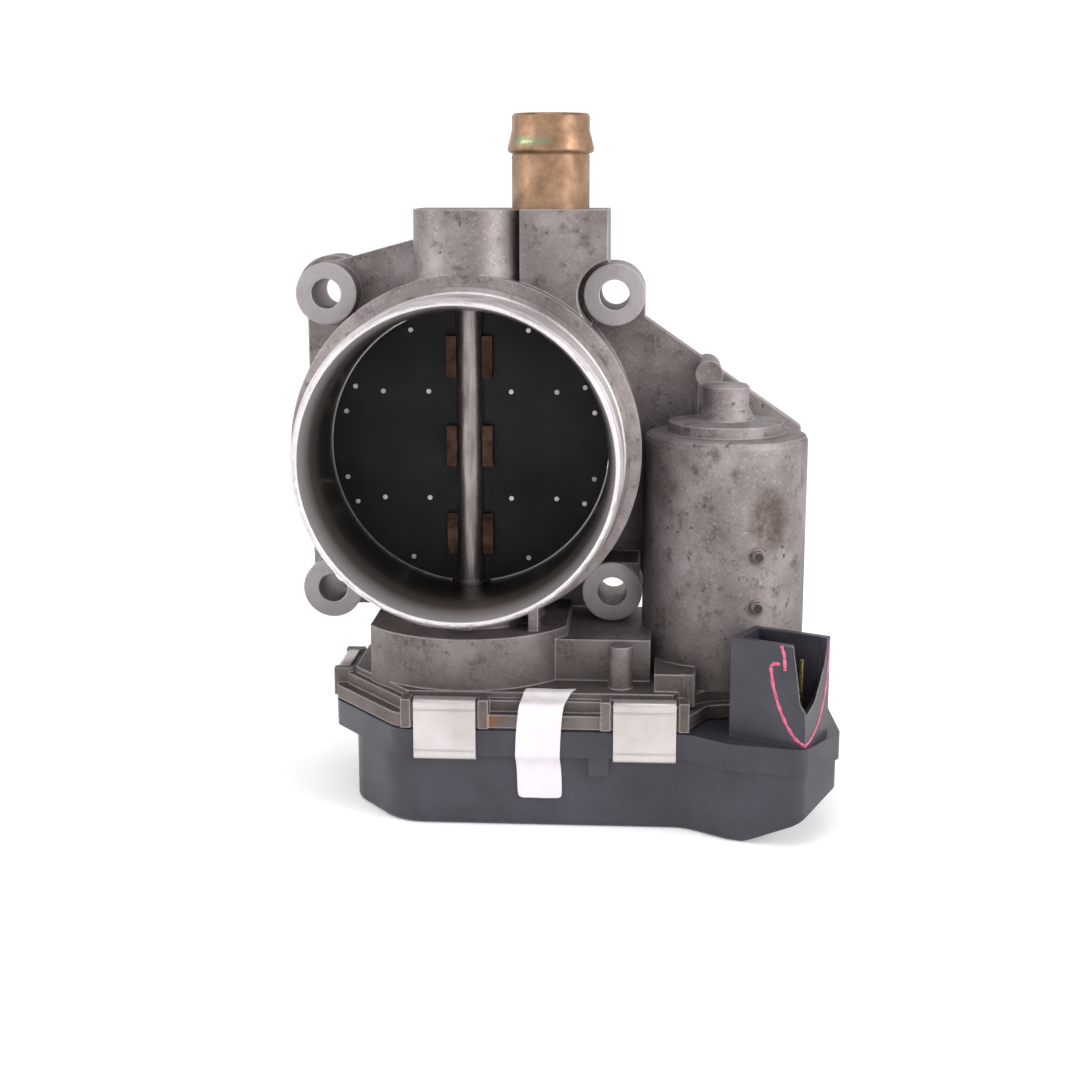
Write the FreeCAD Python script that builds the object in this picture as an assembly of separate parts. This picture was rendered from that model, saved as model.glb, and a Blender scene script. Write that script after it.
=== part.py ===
import FreeCAD, Part
import math
import os

# Electronic throttle body, in millimetres.
# X is to the right seen from the inlet, Y runs from the inlet to the engine, Z is up.
# The origin is on the bore's axis, in the plane of the flange that meets the engine.

# Bore, plate and shaft
BORE_R = 32.3
RIM_BORE_R = 34.2
RIM_Y = -53.0
TAPER_Y = -40.0
SPIGOT_R = 35.8
SHAFT_Y = -20.0
SHAFT_R = 4.5
WAIST_R = 3.4
WAIST_HALF = 31.6
SHAFT_TOP = 47.0
SHAFT_BOTTOM = -69.5
PLATE_R = 32.0
SHEET_T = 0.9
DOT_R = 0.55
DOT_HEAD = 0.15
TAB_HALF = 4.75
TAB_NEAR = 2.9
TAB_WIDTH = 2.4
TAB_HEIGHT = 2.6
RUNNING_GAP = 0.03

# Engine flange
FLANGE_T = 6.0
FLANGE_HALF_X = 40.0
FLANGE_HALF_Z = 41.5
BOLT_HALF_X = 33.0
BOLT_HALF_Z = 34.5
BOSS_R = 7.0
BOSS_LENGTH = 20.0
BOSS_CLEARANCE_R = 8.2
BOSS_CLEARANCE_BACK = -15.0
BOLT_HOLE_R = 3.4
SEAL_IN_R = 35.2
SEAL_OUT_R = 37.6
SEAL_DEPTH = 1.9

# Bearing boss, block and nipple on top
TOP_Z = 53.6
TOP_BOSS_R = 12.6
BLOCK_LEFT = 13.0
BLOCK_RIGHT = 31.6
BLOCK_FRONT = -28.0
BEARING_R = 7.0
BEARING_LENGTH = 9.0
SEAL_LENGTH = 2.0
SEAT_Z = 35.0
NIPPLE_X = 18.2
NIPPLE_Y = -15.0
NIPPLE_R = 8.8
NIPPLE_BARB_R = 9.8
NIPPLE_BORE_R = 7.6
NIPPLE_TOP = 74.6
NIPPLE_SEAT = 44.0
PASSAGE_Z = 40.6
PASSAGE_R = 2.6

# Motor
MOTOR_X = 58.7
MOTOR_Y = -20.0
MOTOR_HOUSING_R = 18.7
MOTOR_HOUSING_TOP = 3.6
CAN_R = 16.4
CAN_WALL = 1.2
CAN_TOP = -3.0
MAGNET_IN_R = 12.3
MAGNET_TOP = -12.0
MAGNET_BOTTOM = -44.0
STACK_R = 11.6
STACK_TOP = -15.0
STACK_BOTTOM = -41.0
SLOTS = 8
MOTOR_SHAFT_R = 1.6
MOTOR_BUSH_R = 4.0
COMMUTATOR_R = 4.2
COMMUTATOR_TOP = -47.0
COMMUTATOR_BOTTOM = -52.5
END_PLATE_R = 15.8
END_PLATE_T = 1.6
MOTOR_SCREW_REACH = 18.8

# Gears
PRESSURE = math.radians(25.0)
SECTOR_MODULE = 1.0
SECTOR_TEETH = 50
SMALL_TEETH = 16
MOTOR_MODULE = 0.75
LARGE_TEETH = 57
PINION_TEETH = 12
TOOTH_THINNING = 0.12
SECTOR_TOP = -60.4
SECTOR_BOTTOM = -64.8
SMALL_BOTTOM = -66.6
LARGE_TOP = -67.5
LARGE_BOTTOM = -72.5
PIN_R = 2.5
TRAVEL = 85.0
STOP_X = -15.0
STOP_Z = -62.6

# Lower flange, gear cover and clips
LOWER_TOP = -53.0
LOWER_STEP = -55.6
LOWER_STEP_IN = 2.6
LOWER_RISE = 1.4
LOWER_RISE_IN = 4.4
LOWER_ROOT = -55.0
JOINT_Z = -58.6
GASKET_T = 0.6
LIP_BOTTOM = -65.2
COVER_BOTTOM = -82.0
COVER_FLOOR_T = 2.0
LIP_STEP = 2.0
COVER_WALL = 1.8
FRONT_Y = -50.6
BACK_Y = 10.6
LEFT_X = -31.0
BODY_FRONT_Y = -48.6
LABEL_LEFT = 14.5
LABEL_RIGHT = 26.0
LABEL_BOTTOM = -75.2
LABEL_T = 0.2
LABEL_TAIL = 2.6
CLIP_T = 0.8
CLIP_WIDTH = 13.8
CHAMBER_R = 20.0
CHAMBER_TOP = -42.2
LOWER_BOSS_R = 26.0
LOWER_BOSS_TOP = -39.8
NECK_R = 17.0
SPRING_R = 14.0
SPRING_WIRE_R = 0.9
SPRING_TOP = -44.6
SPRING_HEIGHT = 11.0
SPRING_TURNS = 4
SPRING_LEG = 9.0

# Connector shell, standing on the cover
PLUG_X = 70.2
PLUG_Y = -49.6
PLUG_TURN = -28.0
PLUG_LONG = 17.8
PLUG_SHORT = 12.5
PLUG_WALL = 1.6
PLUG_TOP = -37.0
PLUG_FLOOR = -57.0
DECK_BOTTOM = -61.2
PIN_HALF = 0.35
PIN_TOP = -42.0

# Sensor board
BOARD_Z = -76.8
BOARD_POSTS = [(x, y) for x in (-10, 18) for y in (-34, -6)]

UP = FreeCAD.Vector(0, 0, 1)
INWARD = FreeCAD.Vector(0, 1, 0)

SECTOR_PITCH_R = SECTOR_MODULE * SECTOR_TEETH / 2
SMALL_PITCH_R = SECTOR_MODULE * SMALL_TEETH / 2
LARGE_PITCH_R = MOTOR_MODULE * LARGE_TEETH / 2
PINION_PITCH_R = MOTOR_MODULE * PINION_TEETH / 2
SHAFT_TO_IDLER = SECTOR_PITCH_R + SMALL_PITCH_R
IDLER_TO_MOTOR = LARGE_PITCH_R + PINION_PITCH_R
SHAFT_TO_MOTOR = math.hypot(MOTOR_X, MOTOR_Y - SHAFT_Y)
IDLER_ANGLE = math.acos((SHAFT_TO_IDLER**2 + SHAFT_TO_MOTOR**2 - IDLER_TO_MOTOR**2)
                        / (2 * SHAFT_TO_IDLER * SHAFT_TO_MOTOR))
IDLER_X = SHAFT_TO_IDLER * math.cos(IDLER_ANGLE)
IDLER_Y = SHAFT_Y + SHAFT_TO_IDLER * math.sin(IDLER_ANGLE)
MOTOR_ANGLE = math.atan2(MOTOR_Y - IDLER_Y, MOTOR_X - IDLER_X)


def at(x, y, z):
    """A point."""
    return FreeCAD.Vector(x, y, z)


def rod(x, y, bottom, top, radius):
    """An upright cylinder."""
    return Part.makeCylinder(radius, top - bottom, at(x, y, bottom), UP)


def bar(x, z, front, back, radius):
    """A cylinder along Y."""
    return Part.makeCylinder(radius, back - front, at(x, front, z), INWARD)


def block(low, high):
    """A box from its lowest to its highest corner."""
    size = [b - a for a, b in zip(low, high)]
    return Part.makeBox(size[0], size[1], size[2], at(*low))


def tube(x, y, bottom, top, inner, outer):
    """An upright ring."""
    return rod(x, y, bottom, top, outer).cut(rod(x, y, bottom, top, inner))


def joined(shapes):
    """Shapes fused into one."""
    return shapes[0].multiFuse(shapes[1:]).removeSplitter()


def grouped(shapes):
    """Separate solids in one node."""
    return Part.makeCompound(shapes)


def turned(shape, x, y, degrees):
    """A shape turned round an upright axis."""
    copy = shape.copy()
    copy.rotate(at(x, y, 0), UP, degrees)
    return copy


def outline(corners, z):
    """A closed wire through (x, y, corner radius), with each corner as an arc."""
    count = len(corners)
    points = [at(x, y, z) for x, y, radius in corners]
    starts = []
    arcs = []
    ends = []
    for i in range(count):
        before = (points[i - 1] - points[i]).normalize()
        after = (points[(i + 1) % count] - points[i]).normalize()
        half = before.getAngle(after) / 2
        radius = corners[i][2]
        start = points[i] + before * (radius / math.tan(half))
        end = points[i] + after * (radius / math.tan(half))
        centre = points[i] + (before + after).normalize() * (radius / math.sin(half))
        middle = centre + (points[i] - centre).normalize() * radius
        starts.append(start)
        ends.append(end)
        arcs.append(Part.Arc(start, middle, end).toShape())
    edges = []
    for i in range(count):
        edges.append(Part.makeLine(ends[i - 1], starts[i]))
        edges.append(arcs[i])
    return Part.Wire(edges)


def prism(corners, bottom, top, grow=0.0):
    """An upright prism on an outline, grown or shrunk sideways."""
    wire = outline(corners, bottom)
    if grow:
        wire = wire.makeOffset2D(grow)
    return Part.Face(wire).extrude(at(0, 0, top - bottom))


def upright_sheet(points, front, back):
    """A flat plate on a polygon of (x, z), from front to back along Y."""
    wire = Part.makePolygon([at(x, front, z) for x, z in points + points[:1]])
    return Part.Face(wire).extrude(at(0, back - front, 0))


def turned_about_bore(points):
    """A solid of revolution about the bore's axis, from (radius, y)."""
    wire = Part.makePolygon([at(r, y, 0) for r, y in points + points[:1]])
    return Part.Face(wire).revolve(at(0, 0, 0), INWARD, 360)


def turned_upright(x, y, points):
    """A solid of revolution about an upright axis, from (radius, z)."""
    wire = Part.makePolygon([at(x + r, y, z) for r, z in points + points[:1]])
    return Part.Face(wire).revolve(at(x, y, 0), UP, 360)


def involute(angle):
    """The involute function."""
    return math.tan(angle) - angle


def gear(x, y, bottom, top, module, teeth, phase):
    """A spur gear with involute flanks, one tooth centred at the phase angle."""
    pitch_r = module * teeth / 2
    base_r = pitch_r * math.cos(PRESSURE)
    root_r = pitch_r - 1.25 * module
    tip_r = pitch_r + 0.95 * module
    foot_r = max(base_r, root_r)
    half_pitch = (math.pi * module / 2 - TOOTH_THINNING) / (2 * pitch_r) + involute(PRESSURE)

    def spot(radius, angle):
        return at(x + radius * math.cos(angle), y + radius * math.sin(angle), bottom)

    def half_width(radius):
        return half_pitch - involute(math.acos(min(1.0, base_r / radius)))

    radii = [foot_r + (tip_r - foot_r) * i / 4 for i in range(5)]
    step = 2 * math.pi / teeth
    edges = []
    for i in range(teeth):
        centre = phase + i * step
        foot = half_width(foot_r)
        rising = Part.BSplineCurve()
        rising.interpolate([spot(r, centre - half_width(r)) for r in radii])
        falling = Part.BSplineCurve()
        falling.interpolate([spot(r, centre + half_width(r)) for r in reversed(radii)])
        tip = half_width(tip_r)
        if foot_r > root_r:
            edges.append(Part.makeLine(spot(root_r, centre - foot), spot(foot_r, centre - foot)))
        edges.append(rising.toShape())
        edges.append(Part.Arc(spot(tip_r, centre - tip), spot(tip_r, centre),
                              spot(tip_r, centre + tip)).toShape())
        edges.append(falling.toShape())
        if foot_r > root_r:
            edges.append(Part.makeLine(spot(foot_r, centre + foot), spot(root_r, centre + foot)))
        edges.append(Part.Arc(spot(root_r, centre + foot), spot(root_r, centre + step / 2),
                              spot(root_r, centre + step - foot)).toShape())
    return Part.Face(Part.Wire(edges)).extrude(at(0, 0, top - bottom))


# Outlines seen from above, as (x, y, corner radius)
LEFT_CORNERS = [(LEFT_X, -6, 6), (LEFT_X, -29, 4), (-14, FRONT_Y, 5)]
RIGHT_BACK_CORNERS = [(82, -6, 5), (72, 5, 5), (50, BACK_Y, 6), (-14, BACK_Y, 6)]
CASTING_FRONT = [(50, FRONT_Y, 3), (55, -40.5, 3), (66, -38, 3), (82, -36, 4)]
COVER_FRONT = [(50, FRONT_Y, 4), (59, -57, 3), (75, -60.5, 3), (84, -47, 3)]
CASTING_CORNERS = LEFT_CORNERS + CASTING_FRONT + RIGHT_BACK_CORNERS
COVER_CORNERS = LEFT_CORNERS + COVER_FRONT + RIGHT_BACK_CORNERS
BODY_FRONT = [(-26, 0, 6), (-26, -33, 10), (-14, BODY_FRONT_Y, 12), (49.5, BODY_FRONT_Y, 8), (59, -55, 6)]
BODY_BACK = [(74.5, -59.8, 3), (83.3, -46.8, 3), (80.5, -7, 5), (71, 3, 5), (50, 8.6, 6), (-18, 8.6, 6)]
BODY_CORNERS = BODY_FRONT + BODY_BACK

# Clips as (x, y, turn): the turn brings the outward side from -Y round to the clip's own side
CLIPS = [
    (-3.2, FRONT_Y, 0),
    (41.0, FRONT_Y, 0),
    (LEFT_X, -17.5, -90),
    (-1.0, BACK_Y, 180),
    (34.0, BACK_Y, 180),
]
BOLTS = [(x, z) for x in (-BOLT_HALF_X, BOLT_HALF_X) for z in (-BOLT_HALF_Z, BOLT_HALF_Z)]
MOTOR_SCREWS = [(MOTOR_X + MOTOR_SCREW_REACH * math.cos(a), MOTOR_Y + MOTOR_SCREW_REACH * math.sin(a))
                for a in (math.radians(45), math.radians(225))]


def inlet_tube():
    """The tube round the bore: spigot, bead and collar, solid inside."""
    profile = [(0, RIM_Y), (35.0, RIM_Y), (SPIGOT_R, RIM_Y + 1.6), (SPIGOT_R, -38.0), (37.2, -36.6),
               (37.2, -34.6), (36.5, -34.0), (36.5, -33.2), (39.6, -32.2), (39.6, -26.0), (38.4, -24.8),
               (38.4, 0), (0, 0)]
    return turned_about_bore(profile)


def bore():
    """The air passage, with its tapered mouth."""
    profile = [(0, RIM_Y - 1), (RIM_BORE_R + 0.1, RIM_Y - 1), (RIM_BORE_R, RIM_Y), (BORE_R, TAPER_Y),
               (BORE_R, 1), (0, 1)]
    return turned_about_bore(profile)


def engine_flange():
    """The bolt flange with its bosses and webs."""
    plate = block((-FLANGE_HALF_X, -FLANGE_T, -FLANGE_HALF_Z), (FLANGE_HALF_X, 0, FLANGE_HALF_Z))
    corners = [e for e in plate.Edges if abs(e.Vertexes[0].Y - e.Vertexes[1].Y) > 1]
    pieces = [plate.makeFillet(BOSS_R, corners)]
    for x, z in BOLTS:
        pieces.append(bar(x, z, -BOSS_LENGTH, 0, BOSS_R))
    pieces.append(bar(-BOLT_HALF_X, BOLT_HALF_Z, -11, 0, BOSS_R + 1.4))
    pieces.append(block((BOLT_HALF_X - 5.6, 0.6 - BOSS_LENGTH, -BOLT_HALF_Z),
                        (BOLT_HALF_X + 6.4, 0, BOSS_R - 0.2 - BOLT_HALF_Z)))
    pieces.append(upright_sheet([(-33, 41.3), (-14, 46.5), (-8, 46.5), (-8, 30), (-34, 30)], -13, 0))
    motor_web = [(30, 40), (37, 40), (39.8, 28.6), (77.0, 2.9), (77.0, -6), (36, -6)]
    pieces.append(upright_sheet(motor_web, -FLANGE_T, 0))
    return pieces


def top_block():
    """The upper bearing boss and the block that holds the nipple, relieved round the bolt boss."""
    nipple_block = block((BLOCK_LEFT - 1, BLOCK_FRONT, 28), (BLOCK_RIGHT, 0, TOP_Z))
    relief = bar(BOLT_HALF_X, BOLT_HALF_Z, BLOCK_FRONT - 1, BOSS_CLEARANCE_BACK, BOSS_CLEARANCE_R)
    return [
        rod(0, SHAFT_Y, 30, TOP_Z, TOP_BOSS_R),
        block((-TOP_BOSS_R, SHAFT_Y, 30), (TOP_BOSS_R, 0, TOP_Z)),
        nipple_block.cut(relief),
    ]


def motor_housing():
    """The upright housing round the motor, with its stepped top and side post."""
    top = MOTOR_HOUSING_TOP
    profile = [(0, LOWER_TOP), (MOTOR_HOUSING_R, LOWER_TOP), (MOTOR_HOUSING_R, top - 1.6),
               (MOTOR_HOUSING_R - 0.5, top - 0.5), (MOTOR_HOUSING_R - 1.6, top), (13.4, top), (13, top + 2.4),
               (6.6, top + 2.9), (5.2, top + 5.8), (5.2, top + 10.3), (4.6, top + 10.9), (0, top + 10.9)]
    pieces = [turned_upright(MOTOR_X, MOTOR_Y, profile)]
    pieces.append(bar(54.8, 16.2, -17, 0, 3.2))
    pieces.append(block((52.2, -14, 2), (57.4, 0, 16.2)))
    for z in (-21.8, -33.4):
        pieces.append(bar(65.8, z, MOTOR_Y - MOTOR_HOUSING_R - 0.4, MOTOR_Y, 1.25))
    pieces.append(block((44, -16, LOWER_TOP), (74, -1.2, MOTOR_HOUSING_TOP - 5)))
    return pieces


def lower_casting():
    """The spring chamber's boss, the stepped lower flange with its clip pads, and the ribs."""
    root = LOWER_ROOT
    chamber = rod(0, SHAFT_Y, root, LOWER_BOSS_TOP, LOWER_BOSS_R)
    chamber = chamber.common(block((-22, -47, root), (23, 0, -30)))
    neck = rod(0, SHAFT_Y, root, -30, NECK_R)
    pieces = [chamber, neck, stop_post()]
    pieces.append(prism(CASTING_CORNERS, JOINT_Z, LOWER_STEP))
    pieces.append(prism(CASTING_CORNERS, LOWER_STEP, LOWER_TOP, -LOWER_STEP_IN))
    pieces.append(prism(CASTING_CORNERS, LOWER_TOP, LOWER_TOP + LOWER_RISE, -LOWER_RISE_IN))
    pieces.append(block((-1.4, -37.5, root), (1.4, -30, -36)))
    pieces.append(block((14.5, -37.5, root), (16.7, -30, -34)))
    pieces.append(block((20, -36, root), (42, -4, -42)))
    pieces.append(rod(35.4, -40.5, root, -42, 2.7))
    pieces.append(rod(50.5, -42.5, root, -47.5, 1.8))
    pieces.append(block((43, -44, root), (52, -30, -47.6)))
    for x, y, turn in CLIPS:
        reach = CLIP_WIDTH / 2 + 0.7
        pad = block((x - reach, y, LOWER_STEP - 1), (x + reach, y + LOWER_RISE_IN + 1, LOWER_TOP))
        pieces.append(turned(pad, x, y, turn))
        for side in (-1, 1):
            low = (x + side * (CLIP_WIDTH / 2 + 1.7) - 1.1, y - 0.9, JOINT_Z)
            ear = block(low, (low[0] + 2.2, y + LOWER_STEP_IN + 1, LOWER_TOP + 0.9))
            pieces.append(turned(ear, x, y, turn))
    return pieces


def throttle_housing(cavities):
    """The aluminium casting."""
    solid = joined([inlet_tube()] + engine_flange() + top_block() + motor_housing() + lower_casting())
    cuts = [bore(), rod(0, SHAFT_Y, -60, TOP_Z - 1, SHAFT_R + 0.25)]
    cuts.append(rod(0, SHAFT_Y, SEAT_Z, TOP_Z + 1, BEARING_R))
    cuts.append(rod(0, SHAFT_Y, -SEAT_Z - SEAL_LENGTH - BEARING_LENGTH, -SEAT_Z, BEARING_R))
    cuts.append(tube(0, SHAFT_Y, JOINT_Z - 1, CHAMBER_TOP, 10.5, CHAMBER_R))
    cuts.append(rod(0, SHAFT_Y, JOINT_Z - 1, -47, 11))
    for x, z in BOLTS:
        cuts.append(bar(x, z, -BOSS_LENGTH - 1, 1, BOLT_HOLE_R))
    groove = bar(0, 0, -SEAL_DEPTH, 1, SEAL_OUT_R).cut(bar(0, 0, -SEAL_DEPTH, 1, SEAL_IN_R))
    cuts.append(groove)
    cuts.append(rod(MOTOR_X, MOTOR_Y, JOINT_Z - 1, CAN_TOP, CAN_R))
    cuts.append(rod(NIPPLE_X, NIPPLE_Y, NIPPLE_SEAT, TOP_Z + 1, NIPPLE_R))
    cuts.append(rod(NIPPLE_X, NIPPLE_Y, PASSAGE_Z - 3.6, NIPPLE_SEAT, NIPPLE_BORE_R - 1.6))
    cuts.append(bar(NIPPLE_X, PASSAGE_Z, NIPPLE_Y, 1, PASSAGE_R))
    for cut in cuts + cavities:
        solid = solid.cut(cut)
    return solid


def hose_nipple():
    """The brass nipple, with its barb below a plain lead-in."""
    top = NIPPLE_TOP
    profile = [(NIPPLE_BORE_R, NIPPLE_SEAT), (NIPPLE_R, NIPPLE_SEAT), (NIPPLE_R, top - 9.2),
               (NIPPLE_R - 0.2, top - 8.9), (NIPPLE_BARB_R - 0.3, top - 8.5), (NIPPLE_BARB_R, top - 8.1),
               (NIPPLE_BARB_R, top - 7.6), (NIPPLE_R + 0.2, top - 4.4), (NIPPLE_R, top - 3.6),
               (NIPPLE_R, top - 0.6), (NIPPLE_R - 0.4, top), (NIPPLE_BORE_R + 0.3, top),
               (NIPPLE_BORE_R, top - 0.5)]
    return turned_upright(NIPPLE_X, NIPPLE_Y, profile)


def throttle_shaft():
    """The steel shaft, waisted across the bore and slotted for the two sheets."""
    solid = rod(0, SHAFT_Y, SHAFT_BOTTOM, SHAFT_TOP, SHAFT_R)
    solid = solid.cut(tube(0, SHAFT_Y, -WAIST_HALF, WAIST_HALF, WAIST_R, SHAFT_R + 1))
    slot = block((-6, SHAFT_Y - SHEET_T, -PLATE_R), (6, SHAFT_Y + SHEET_T, PLATE_R))
    return solid.cut(slot)


def dot_places():
    """The (x, z) places of the spot rivets."""
    places = []
    for x in (-20.0, -9.5, 9.5, 20.0):
        for z in (-12.4, 12.4):
            places.append((x, z))
    for middle in (0, 180):
        for spread in (-27, -15, 15, 27):
            angle = math.radians(middle + spread)
            places.append((29.7 * math.cos(angle), 29.7 * math.sin(angle)))
    for middle in (90, 270):
        for spread in (-27, 27):
            angle = math.radians(middle + spread)
            places.append((29.7 * math.cos(angle), 29.7 * math.sin(angle)))
    return places


def plate_rivets():
    """Spot rivets through both sheets."""
    reach = SHEET_T + DOT_HEAD
    return grouped([bar(x, z, SHAFT_Y - reach, SHAFT_Y + reach, DOT_R) for x, z in dot_places()])


def throttle_sheet(front, back):
    """One of the two round sheets of the plate."""
    return bar(0, 0, front, back, PLATE_R).cut(plate_rivets())


def shaft_saddles():
    """Tabs on the front sheet that flank the shaft in three places."""
    tabs = []
    for middle in (-20.5, 0.0, 20.5):
        for side in (-1, 1):
            low_x = min(side * TAB_NEAR, side * (TAB_NEAR + TAB_WIDTH))
            low = (low_x, SHAFT_Y - TAB_HEIGHT, middle - TAB_HALF)
            tab = block(low, (low_x + TAB_WIDTH, SHAFT_Y - SHEET_T, middle + TAB_HALF))
            tabs.append(tab.cut(rod(0, SHAFT_Y, -WAIST_HALF, WAIST_HALF, WAIST_R)))
    return grouped(tabs)


def sector_gear():
    """The plastic sector on the shaft, with its hub and stop lug."""
    full = gear(0, SHAFT_Y, SECTOR_BOTTOM, SECTOR_TOP, SECTOR_MODULE, SECTOR_TEETH, IDLER_ANGLE)
    start = math.degrees(IDLER_ANGLE) - TRAVEL - 9
    end = math.degrees(IDLER_ANGLE) + 9
    corners = [at(0, SHAFT_Y, SECTOR_BOTTOM)]
    for i in range(4):
        angle = math.radians(start + (end - start) * i / 3)
        corners.append(at(60 * math.cos(angle), SHAFT_Y + 60 * math.sin(angle), SECTOR_BOTTOM))
    wedge = Part.Face(Part.makePolygon(corners + corners[:1])).extrude(at(0, 0, SECTOR_TOP - SECTOR_BOTTOM))
    hub = rod(0, SHAFT_Y, SECTOR_BOTTOM - 1, SECTOR_TOP + 1.8, 9)
    lug = block((-17, SHAFT_Y - 2, SECTOR_BOTTOM), (0, SHAFT_Y + 2, SECTOR_TOP))
    solid = joined([full.common(wedge), hub, lug])
    for i in range(4):
        angle = math.radians(start + 14 + i * 24)
        x = 16 * math.cos(angle)
        y = SHAFT_Y + 16 * math.sin(angle)
        solid = solid.cut(rod(x, y, SECTOR_BOTTOM - 1, SECTOR_TOP + 1, 2.6))
    return solid.cut(rod(0, SHAFT_Y, -90, 0, SHAFT_R))


def gear_lock_nut():
    """The hexagonal nut that holds the sector on the shaft."""
    corners = [at(7 * math.cos(math.radians(a)), SHAFT_Y + 7 * math.sin(math.radians(a)), -69.0)
               for a in range(0, 360, 60)]
    nut = Part.Face(Part.makePolygon(corners + corners[:1])).extrude(at(0, 0, 69.0 + SECTOR_BOTTOM - 1))
    return nut.cut(rod(0, SHAFT_Y, -80, 0, SHAFT_R))


def return_spring():
    """The torsion spring in its chamber, with a straight leg at each end."""
    helix = Part.makeHelix(SPRING_HEIGHT / SPRING_TURNS, SPRING_HEIGHT, SPRING_R)
    circle = Part.Wire([Part.makeCircle(SPRING_WIRE_R, at(SPRING_R, 0, 0), INWARD)])
    coil = Part.Wire([helix]).makePipeShell([circle], True, True)
    legs = [bar(SPRING_R, 0, -SPRING_LEG, 0, SPRING_WIRE_R),
            bar(SPRING_R, SPRING_HEIGHT, 0, SPRING_LEG, SPRING_WIRE_R)]
    spring = coil.multiFuse(legs)
    spring.translate(at(0, SHAFT_Y, SPRING_TOP - SPRING_HEIGHT))
    return spring


def intermediate_gear():
    """The stepped plastic gear between the motor and the sector."""
    small = gear(IDLER_X, IDLER_Y, SMALL_BOTTOM, SECTOR_TOP, SECTOR_MODULE, SMALL_TEETH,
                 IDLER_ANGLE + math.pi + math.pi / SMALL_TEETH)
    large = gear(IDLER_X, IDLER_Y, LARGE_BOTTOM, LARGE_TOP, MOTOR_MODULE, LARGE_TEETH, MOTOR_ANGLE)
    hub = rod(IDLER_X, IDLER_Y, LARGE_BOTTOM, SMALL_BOTTOM, 6.4)
    recess = tube(IDLER_X, IDLER_Y, LARGE_BOTTOM - 1, LARGE_BOTTOM + 1.6, 7, 17.5)
    solid = joined([small, large, hub]).cut(recess)
    return solid.cut(rod(IDLER_X, IDLER_Y, -90, 0, PIN_R + RUNNING_GAP))


def intermediate_gear_pin():
    """The fixed steel pin that the stepped gear turns on."""
    return rod(IDLER_X, IDLER_Y, -76.5, -53, PIN_R)


def motor_pinion():
    """The brass pinion on the motor's shaft."""
    solid = gear(MOTOR_X, MOTOR_Y, LARGE_BOTTOM - 0.5, LARGE_TOP + 0.7, MOTOR_MODULE, PINION_TEETH,
                 MOTOR_ANGLE + math.pi + math.pi / PINION_TEETH)
    return solid.cut(rod(MOTOR_X, MOTOR_Y, -90, 0, MOTOR_SHAFT_R))


def motor_can():
    """The steel cup that is the motor's body."""
    cup = rod(MOTOR_X, MOTOR_Y, JOINT_Z, CAN_TOP, CAN_R)
    return cup.cut(rod(MOTOR_X, MOTOR_Y, JOINT_Z, CAN_TOP - CAN_WALL, CAN_R - CAN_WALL))


def motor_magnets():
    """Two curved magnets inside the can."""
    ring = tube(MOTOR_X, MOTOR_Y, MAGNET_BOTTOM, MAGNET_TOP, MAGNET_IN_R, CAN_R - CAN_WALL)
    gap = block((MOTOR_X - 5, MOTOR_Y - 20, MAGNET_BOTTOM), (MOTOR_X + 5, MOTOR_Y + 20, MAGNET_TOP))
    return grouped(ring.cut(gap).Solids)


def armature_slots(bottom, top):
    """The slots between the armature's teeth."""
    slots = []
    for i in range(SLOTS):
        slot = block((MOTOR_X + 5.5, MOTOR_Y - 1.5, bottom), (MOTOR_X + 10.2, MOTOR_Y + 1.5, top))
        mouth = block((MOTOR_X + 10, MOTOR_Y - 0.6, bottom), (MOTOR_X + 13, MOTOR_Y + 0.6, top))
        slots.append(turned(slot.fuse(mouth), MOTOR_X, MOTOR_Y, i * 360 / SLOTS))
    return slots


def motor_armature():
    """The slotted steel stack."""
    stack = rod(MOTOR_X, MOTOR_Y, STACK_BOTTOM, STACK_TOP, STACK_R)
    stack = stack.cut(Part.makeCompound(armature_slots(STACK_BOTTOM, STACK_TOP)))
    return stack.cut(rod(MOTOR_X, MOTOR_Y, -90, 0, MOTOR_SHAFT_R))


def armature_windings():
    """The copper end turns above and below the stack."""
    ends = []
    for bottom, top in ((STACK_TOP, STACK_TOP + 4.2), (STACK_BOTTOM - 4.2, STACK_BOTTOM)):
        ends.append(tube(MOTOR_X, MOTOR_Y, bottom, top, 5.0, 10.4))
    return grouped(ends)


def commutator():
    """The ring of copper bars."""
    ring = tube(MOTOR_X, MOTOR_Y, COMMUTATOR_BOTTOM, COMMUTATOR_TOP, MOTOR_SHAFT_R, COMMUTATOR_R)
    slits = []
    for i in range(SLOTS):
        slit = block((MOTOR_X + 3.2, MOTOR_Y - 0.2, -60), (MOTOR_X + 5, MOTOR_Y + 0.2, -40))
        slits.append(turned(slit, MOTOR_X, MOTOR_Y, i * 360 / SLOTS))
    return ring.cut(Part.makeCompound(slits))


def motor_shaft():
    """The motor's steel shaft."""
    return rod(MOTOR_X, MOTOR_Y, -73.4, -4.6, MOTOR_SHAFT_R)


def motor_brushes():
    """Two carbon brushes on either side of the commutator."""
    brushes = []
    for side in (-1, 1):
        near = MOTOR_X + side * (COMMUTATOR_R + 0.1)
        far = MOTOR_X + side * 10.5
        brushes.append(block((min(near, far), MOTOR_Y - 1.6, -51.5), (max(near, far), MOTOR_Y + 1.6, -48)))
    return grouped(brushes)


def motor_bush(bottom, top):
    """A bronze bush round the motor's shaft."""
    return tube(MOTOR_X, MOTOR_Y, bottom, top, MOTOR_SHAFT_R + RUNNING_GAP, MOTOR_BUSH_R)


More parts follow.
